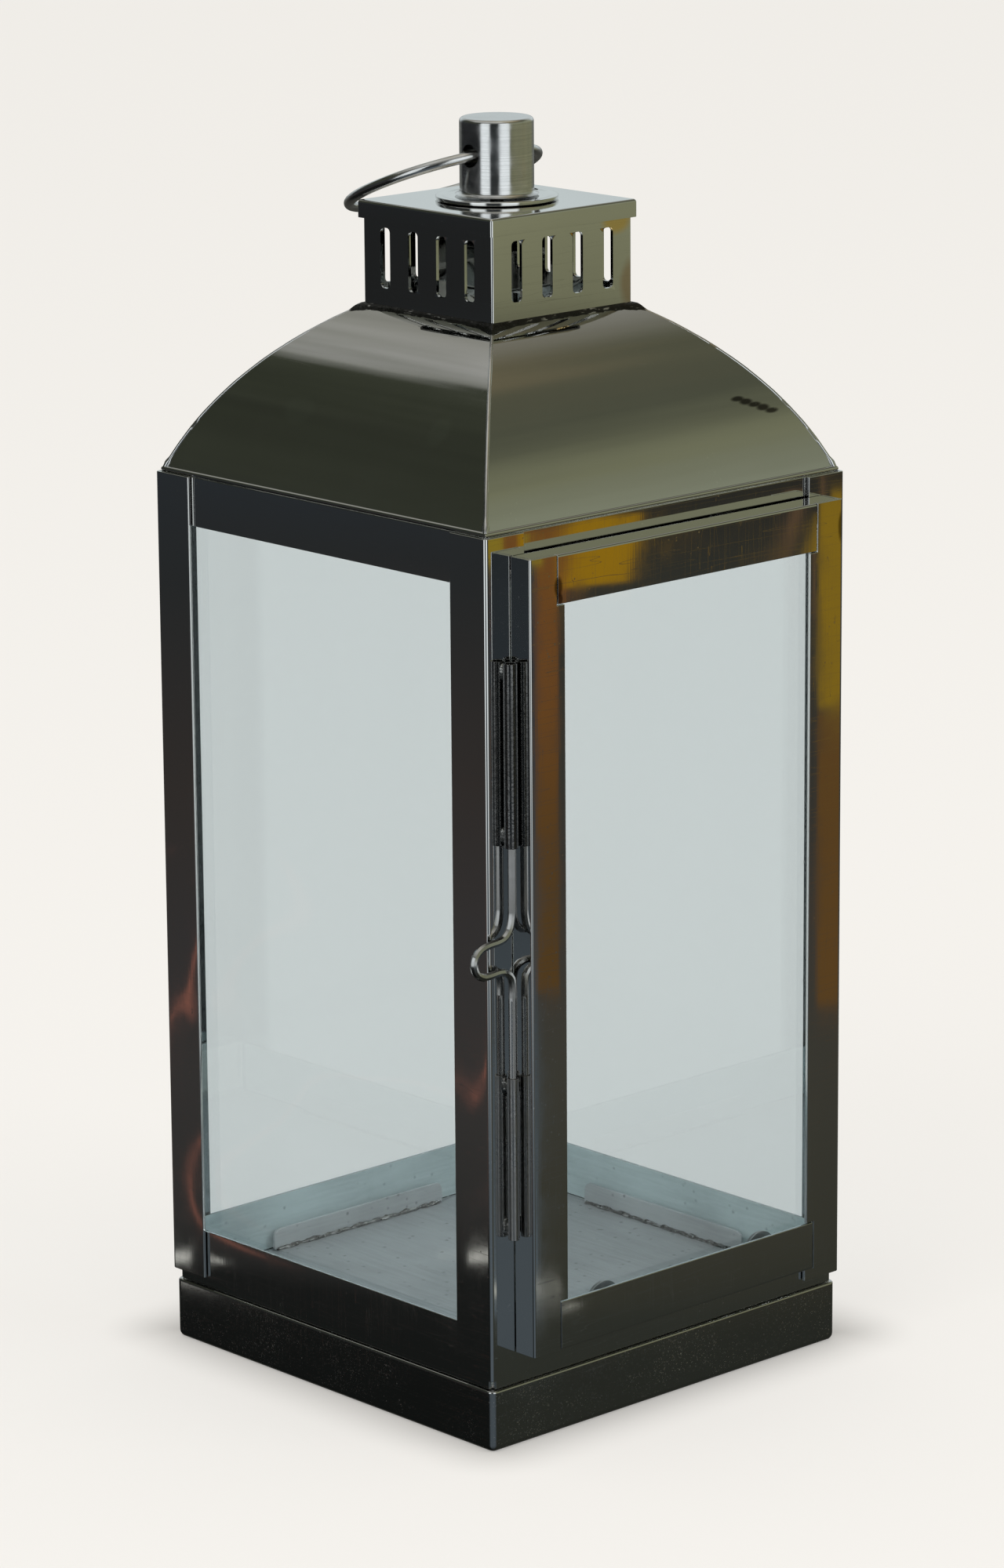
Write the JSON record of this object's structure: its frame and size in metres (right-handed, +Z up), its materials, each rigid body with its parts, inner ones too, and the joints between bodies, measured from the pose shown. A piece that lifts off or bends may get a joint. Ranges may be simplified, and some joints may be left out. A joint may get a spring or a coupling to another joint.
{
  "type": "candle lantern",
  "caption": "Square polished steel candle lantern with glass sides, a hinged glazed door with a wire catch, a domed roof, a slotted vent box and a carrying ring through a turned knob.",
  "frame": {"origin": "middle of the whole footprint (door and catch included), on the surface the lantern stands on; the lantern's own centre line is 4.4 mm towards +X and 4.0 mm towards +Y of it", "axes": "+Z up; the door is on the -Y side and opens about its right-hand (+X) edge; the catch is at the front left corner"},
  "size_m": [0.1488, 0.148, 0.3647],
  "materials": {
    "polished_steel": "mirror-polished stainless sheet, small scratches and heat tints",
    "brushed_steel": "turned and brushed stainless",
    "wire_steel": "bright drawn steel wire",
    "dull_steel": "mill-finish steel sheet",
    "window_glass": "clear float glass"
  },
  "bodies": {
    "frame": {"base_tray": "polished_steel", "floor_plate": "dull_steel", "post_back_right": "polished_steel", "post_back_left": "polished_steel", "post_front_left": "polished_steel", "post_front_right": "polished_steel", "rail_bottom_back": "polished_steel", "rail_top_back": "polished_steel", "roof_back": "polished_steel", "rail_bottom_left": "polished_steel", "rail_top_left": "polished_steel", "roof_left": "polished_steel", "rail_bottom_front": "polished_steel", "rail_top_front": "polished_steel", "roof_front": "polished_steel", "rail_bottom_right": "polished_steel", "rail_top_right": "polished_steel", "roof_right": "polished_steel", "glass_back": "window_glass", "glass_strip_back": "dull_steel", "glass_left": "window_glass", "glass_strip_left": "dull_steel", "glass_right": "window_glass", "glass_strip_right": "dull_steel", "hinge_post_lower": "dull_steel", "hinge_post_upper": "dull_steel", "hinge_pin_lower": "wire_steel", "hinge_pin_upper": "wire_steel", "latch_tube_upper": "wire_steel", "latch_tube_lower": "wire_steel", "vent_box": "polished_steel", "vent_lid": "polished_steel", "knob_flange": "polished_steel", "knob": "brushed_steel", "knob_screw": "dull_steel"},
    "door": {"door_stile_left": "polished_steel", "door_stile_right": "polished_steel", "door_rail_bottom": "polished_steel", "door_rail_top": "polished_steel", "door_glass": "window_glass", "door_tab_bottom_left": "dull_steel", "door_tab_bottom_right": "dull_steel", "door_tab_top_left": "dull_steel", "door_tab_top_right": "dull_steel", "hinge_door_lower": "dull_steel", "hinge_door_upper": "dull_steel"},
    "latch": {"latch_wire": "wire_steel"},
    "ring": {"carry_ring": "wire_steel"}
  },
  "joints": [
    {"name": "door_hinge", "type": "hinge", "parent": "frame", "child": "door", "pos_m": [0.0676, -0.0683, 0.146], "axis": [0, 0, 1], "range_deg": [0, 120]},
    {"name": "latch_turn", "type": "hinge", "parent": "frame", "child": "latch", "pos_m": [-0.059, -0.06845, 0.146], "axis": [0, 0, 1], "range_deg": [0, 95]},
    {"name": "ring_swing", "type": "hinge", "parent": "frame", "child": "ring", "pos_m": [0.0044, 0.004, 0.3544], "axis": [1, 0, 0], "range_deg": [0, 223]}
  ]
}
